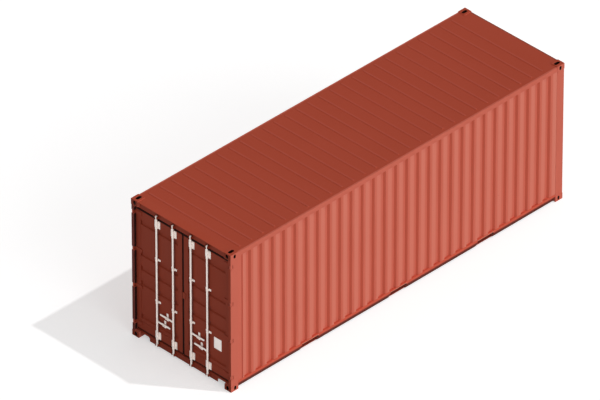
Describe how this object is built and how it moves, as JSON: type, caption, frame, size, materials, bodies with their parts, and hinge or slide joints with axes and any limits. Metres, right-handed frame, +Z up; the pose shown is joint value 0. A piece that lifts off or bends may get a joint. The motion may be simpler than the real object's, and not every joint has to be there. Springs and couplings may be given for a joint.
{
  "type": "shipping container",
  "caption": "Long steel freight box with corrugated walls, a ribbed roof, slotted corner castings, fork pockets and two hinged end doors locked by upright turning rods.",
  "frame": {"origin": "on the ground under the middle of the container", "axes": "+X along the length from the doors to the closed end, +Y to the left seen from the doors, +Z up"},
  "size_m": [8.23, 2.438, 2.896],
  "materials": {
    "red_paint": "satin",
    "galvanised_steel": "satin",
    "bare_steel": "satin",
    "black_rubber": "matte",
    "plywood": "matte"
  },
  "bodies": {
    "container": {"bottom_corner_castings": "red_paint", "top_corner_castings": "red_paint", "rear_right_post": "red_paint", "rear_left_post": "red_paint", "front_posts": "red_paint", "hinge_pins": "bare_steel", "post_seals": "black_rubber", "right_top_rail": "red_paint", "left_top_rail": "red_paint", "right_bottom_rail": "red_paint", "left_bottom_rail": "red_paint", "front_top_rail": "red_paint", "front_bottom_rail": "red_paint", "right_side_wall": "red_paint", "left_side_wall": "red_paint", "front_wall": "red_paint", "roof": "red_paint", "floor": "plywood", "cross_members": "red_paint", "fork_pockets": "red_paint", "pocket_straps": "red_paint", "door_header": "red_paint", "door_sill": "red_paint", "cam_keepers": "red_paint"},
    "left_door": {"left_door_frame": "red_paint", "left_door_panel": "red_paint", "left_door_gasket": "black_rubber", "left_door_hinges": "red_paint", "left_rod_bearings": "galvanised_steel", "left_handle_catches": "galvanised_steel"},
    "right_door": {"right_door_frame": "red_paint", "right_door_panel": "red_paint", "right_door_gasket": "black_rubber", "right_door_hinges": "red_paint", "right_rod_bearings": "galvanised_steel", "right_handle_catches": "galvanised_steel", "right_door_stop_plate": "red_paint"},
    "left_outer_lock": {"left_outer_rod": "galvanised_steel"},
    "left_outer_grip": {"left_outer_handle": "galvanised_steel"},
    "left_inner_lock": {"left_inner_rod": "galvanised_steel"},
    "left_inner_grip": {"left_inner_handle": "galvanised_steel"},
    "right_outer_lock": {"right_outer_rod": "galvanised_steel"},
    "right_outer_grip": {"right_outer_handle": "galvanised_steel"},
    "right_inner_lock": {"right_inner_rod": "galvanised_steel"},
    "right_inner_grip": {"right_inner_handle": "galvanised_steel"}
  },
  "joints": [
    {"name": "left_door_swing", "type": "hinge", "parent": "container", "child": "left_door", "pos_m": [-4.091, 1.195, 0], "axis": [0, 0, -1], "range_deg": [0, 265]},
    {"name": "left_outer_rod_turn", "type": "hinge", "parent": "left_door", "child": "left_outer_lock", "pos_m": [-4.091, 0.62, 0], "axis": [0, 0, 1], "range_deg": [-90, 0]},
    {"name": "left_outer_handle_lift", "type": "hinge", "parent": "left_outer_lock", "child": "left_outer_grip", "pos_m": [-4.091, 0.584, 0.574], "axis": [-1, 0, 0], "range_deg": [0, 18]},
    {"name": "left_inner_rod_turn", "type": "hinge", "parent": "left_door", "child": "left_inner_lock", "pos_m": [-4.091, 0.219, 0], "axis": [0, 0, -1], "range_deg": [-90, 0]},
    {"name": "left_inner_handle_lift", "type": "hinge", "parent": "left_inner_lock", "child": "left_inner_grip", "pos_m": [-4.091, 0.255, 0.755], "axis": [1, 0, 0], "range_deg": [0, 18]},
    {"name": "right_door_swing", "type": "hinge", "parent": "container", "child": "right_door", "pos_m": [-4.091, -1.195, 0], "axis": [0, 0, 1], "range_deg": [0, 265]},
    {"name": "right_outer_rod_turn", "type": "hinge", "parent": "right_door", "child": "right_outer_lock", "pos_m": [-4.091, -0.62, 0], "axis": [0, 0, -1], "range_deg": [-90, 0]},
    {"name": "right_outer_handle_lift", "type": "hinge", "parent": "right_outer_lock", "child": "right_outer_grip", "pos_m": [-4.091, -0.584, 0.574], "axis": [1, 0, 0], "range_deg": [0, 18]},
    {"name": "right_inner_rod_turn", "type": "hinge", "parent": "right_door", "child": "right_inner_lock", "pos_m": [-4.091, -0.219, 0], "axis": [0, 0, 1], "range_deg": [-90, 0]},
    {"name": "right_inner_handle_lift", "type": "hinge", "parent": "right_inner_lock", "child": "right_inner_grip", "pos_m": [-4.091, -0.255, 0.755], "axis": [-1, 0, 0], "range_deg": [0, 18]}
  ]
}
